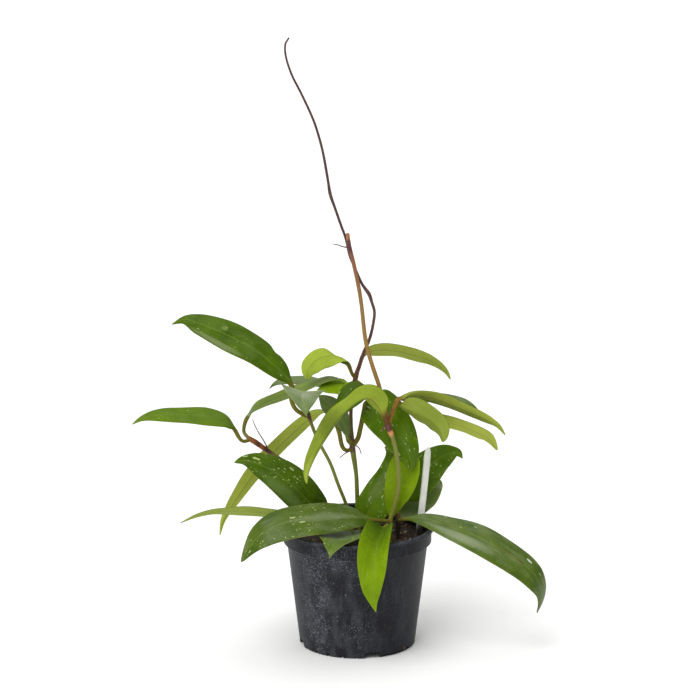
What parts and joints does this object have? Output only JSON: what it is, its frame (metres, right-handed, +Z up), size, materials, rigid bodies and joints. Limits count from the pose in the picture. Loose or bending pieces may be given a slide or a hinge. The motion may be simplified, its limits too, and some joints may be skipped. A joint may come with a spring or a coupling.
{
  "type": "potted hoya plant",
  "caption": "Young trailing hoya with glossy flecked lance-shaped leaves and one tall bare vine, rooted in a black ribbed-foot nursery pot with a blank plant label.",
  "frame": {"origin": "on the pot's axis, in the plane of the surface that its foot stands on", "axes": "+Z up along the pot's axis, -Y towards the front of the plant"},
  "size_m": [0.3195, 0.1355, 0.4767],
  "materials": {
    "pot": "thin moulded black plastic, dusty with dried mineral specks",
    "soil": "damp bark and peat potting mix with perlite",
    "label": "smooth white plastic stake, blank",
    "stem": "smooth woody green stem turning brown and maroon",
    "leaf": "glossy waxy dark green with pale silvery flecks, lighter matte underside",
    "young_leaf": "satin yellow-green, soft midrib"
  },
  "bodies": {
    "root": {"pot": "pot", "soil": "soil", "label": "label", "stem_middle": "stem", "stem_front": "stem", "stem_left": "stem", "stem_far_left": "stem", "stem_stub": "stem", "leaf_upper_left": "leaf", "leaf_front_left": "leaf", "leaf_far_left": "leaf", "leaf_arching_left": "leaf", "leaf_curled_top": "young_leaf", "leaf_top_right": "young_leaf", "leaf_back_left": "leaf", "leaf_inner_left": "leaf", "leaf_inner_front": "leaf", "leaf_drooping_front": "young_leaf", "leaf_right_long": "young_leaf", "leaf_right_behind": "leaf", "leaf_right_middle": "young_leaf", "leaf_right_lower": "young_leaf", "leaf_hanging_centre": "leaf", "leaf_inner_upright": "leaf", "leaf_trailing_left": "young_leaf", "leaf_rear_left": "leaf", "leaf_low_left": "young_leaf", "leaf_large_left": "leaf", "leaf_over_rim": "leaf", "leaf_hanging_front": "young_leaf", "leaf_large_right": "leaf", "leaf_upright_left": "leaf", "leaf_upright_young": "young_leaf", "leaf_upright_right": "leaf", "leaf_upright_rear": "leaf"}
  },
  "joints": []
}
